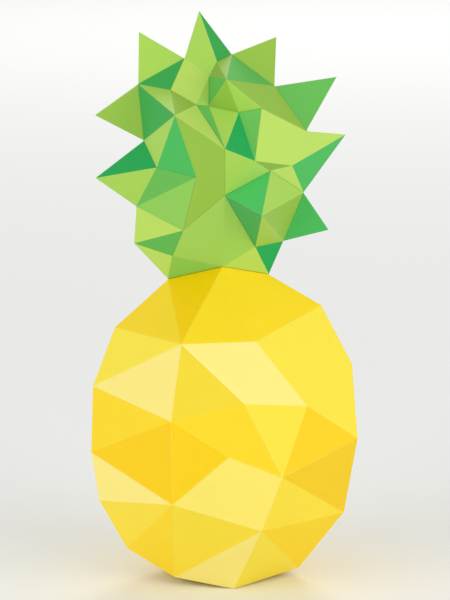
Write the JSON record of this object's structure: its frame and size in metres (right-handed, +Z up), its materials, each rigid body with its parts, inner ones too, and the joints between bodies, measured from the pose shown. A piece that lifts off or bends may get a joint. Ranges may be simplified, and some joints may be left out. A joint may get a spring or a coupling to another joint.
{
  "type": "faceted pineapple ornament",
  "caption": "Standing decorative pineapple with flat painted facets: a golden fruit body on a small flat foot, and a crown of separate pointed green leaf blocks.",
  "frame": {"origin": "on the foot's flat face, under the middle of the fruit", "axes": "+X to the right seen from the front, -Y towards the front, +Z up through the crown"},
  "size_m": [0.1195, 0.1165, 0.257],
  "materials": {
    "fruit_paint": "matte paint in flat facets of several yellows over wood",
    "leaf_paint": "matte paint in flat facets of several greens over wood",
    "core_paint": "matte green paint over wood",
    "dowel_wood": "bare beech"
  },
  "bodies": {
    "root": {"fruit_body": "fruit_paint", "crown_core": "core_paint", "crown_dowel": "dowel_wood", "leaf_top": "leaf_paint", "leaf_top_right": "leaf_paint", "leaf_upper_right": "leaf_paint", "leaf_right": "leaf_paint", "leaf_lower_right": "leaf_paint", "leaf_bottom_left": "leaf_paint", "leaf_lower_left": "leaf_paint", "leaf_left": "leaf_paint", "leaf_upper_left": "leaf_paint", "leaf_front_left": "leaf_paint", "leaf_front_upper": "leaf_paint", "leaf_front_right": "leaf_paint", "leaf_front_middle": "leaf_paint", "leaf_front_low": "leaf_paint", "leaf_back_left": "leaf_paint", "leaf_back_upper": "leaf_paint", "leaf_back_right": "leaf_paint", "leaf_back_middle": "leaf_paint", "leaf_back_low": "leaf_paint"}
  },
  "joints": []
}
